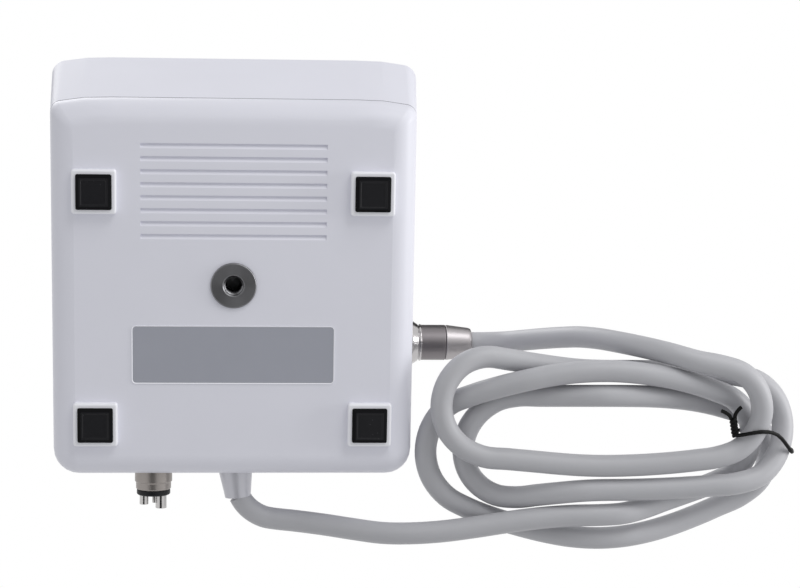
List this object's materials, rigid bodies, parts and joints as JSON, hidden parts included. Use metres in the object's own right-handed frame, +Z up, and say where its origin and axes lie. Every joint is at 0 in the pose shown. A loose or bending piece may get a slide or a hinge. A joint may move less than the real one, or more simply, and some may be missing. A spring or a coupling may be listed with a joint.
{
  "type": "dental micromotor",
  "caption": "Dental micromotor: sloped desk control box with keys and rubber feet, supply inlet, grey hose in a tied coil, and a slim motor lying in a cradle on top.",
  "frame": {"origin": "on the axis of the stand hub under the box, at table level", "axes": "+Z up, front of the box with the control panel towards -Y, supply inlet and hose gland on the rear towards +Y, motor along X with its tail towards +X"},
  "size_m": [0.323, 0.2062, 0.0855],
  "materials": {
    "shell_white": "smooth satin",
    "cradle_grey": "matt grey",
    "rubber_black": "matt",
    "steel": "plain",
    "hub_steel": "turned",
    "type_plate": "satin grey",
    "fascia": "satin film",
    "window": "clear dark",
    "electronics": "circuit board",
    "sink": "plain",
    "inlet_metal": "polished, dark",
    "silencer": "sintered",
    "tubing": "clear blue",
    "gland_grey": "matt grey",
    "black_plastic": "fine texture",
    "key_grey": "satin",
    "motor_steel": "polished",
    "winding": "lacquered copper",
    "hose_grey": "smooth silicone",
    "tie_black": "plastic covered wire"
  },
  "bodies": {
    "housing": {"bottom_shell": "shell_white", "top_cover": "shell_white", "motor_cradle": "cradle_grey", "rubber_feet": "rubber_black", "housing_screws": "steel", "stand_hub": "hub_steel", "hub_nut": "steel", "type_plate": "type_plate", "control_fascia": "fascia", "display_window": "window", "display_module": "electronics", "keypad_board": "electronics", "keypad_screws": "steel", "main_board": "electronics", "board_screws": "steel", "heat_sink": "sink", "pressure_sensor": "electronics", "inlet_body": "inlet_metal", "inlet_nut": "steel", "inlet_gasket": "rubber_black", "inlet_tubes": "inlet_metal", "exhaust_silencer": "silencer", "drive_air_tube": "tubing", "water_tube": "tubing", "chip_air_tube": "tubing", "hose_gland": "gland_grey", "gland_nut": "steel", "switch_housing": "black_plastic", "low_voltage_inlet": "black_plastic", "hose_lead": "hose_grey", "hose_coil": "hose_grey", "hose_riser": "hose_grey", "coil_tie": "tie_black"},
    "key_1": {"key_1": "key_grey"},
    "key_2": {"key_2": "key_grey"},
    "key_3": {"key_3": "key_grey"},
    "key_4": {"key_4": "key_grey"},
    "key_5": {"key_5": "key_grey"},
    "key_6": {"key_6": "key_grey"},
    "rocker": {"power_rocker": "black_plastic"},
    "motor": {"motor_sleeve": "motor_steel", "motor_nose": "motor_steel", "nose_seals": "rubber_black", "stator": "winding", "front_bearing": "steel", "rear_bearing": "steel", "rear_flange": "sink", "motor_tail": "motor_steel", "tail_nut": "motor_steel"},
    "rotor": {"rotor_shaft": "steel", "drive_dog": "steel"}
  },
  "joints": [
    {"name": "key_1_press", "type": "slide", "parent": "housing", "child": "key_1", "axis": [0, 0.206, -0.9785], "range_m": [0, 0.0006], "stiffness_N_per_m": 1500, "springref_m": -0.0004},
    {"name": "key_2_press", "type": "slide", "parent": "housing", "child": "key_2", "axis": [0, 0.206, -0.9785], "range_m": [0, 0.0006], "stiffness_N_per_m": 1500, "springref_m": -0.0004},
    {"name": "key_3_press", "type": "slide", "parent": "housing", "child": "key_3", "axis": [0, 0.206, -0.9785], "range_m": [0, 0.0006], "stiffness_N_per_m": 1500, "springref_m": -0.0004},
    {"name": "key_4_press", "type": "slide", "parent": "housing", "child": "key_4", "axis": [0, 0.206, -0.9785], "range_m": [0, 0.0006], "stiffness_N_per_m": 1500, "springref_m": -0.0004},
    {"name": "key_5_press", "type": "slide", "parent": "housing", "child": "key_5", "axis": [0, 0.206, -0.9785], "range_m": [0, 0.0006], "stiffness_N_per_m": 1500, "springref_m": -0.0004},
    {"name": "key_6_press", "type": "slide", "parent": "housing", "child": "key_6", "axis": [0, 0.206, -0.9785], "range_m": [0, 0.0006], "stiffness_N_per_m": 1500, "springref_m": -0.0004},
    {"name": "rocker_tip", "type": "hinge", "parent": "housing", "child": "rocker", "pos_m": [0.036, 0.08444, 0.04513], "axis": [-1, 0, 0], "range_deg": [0, 16]},
    {"name": "motor_lift", "type": "slide", "parent": "housing", "child": "motor", "axis": [0, 0, 1], "range_m": [0, 0.03], "deforming": ["hose_riser"]},
    {"name": "rotor_spin", "type": "hinge", "parent": "motor", "child": "rotor", "pos_m": [0.05, 0.0384, 0.075], "axis": [1, 0, 0], "continuous": true}
  ]
}
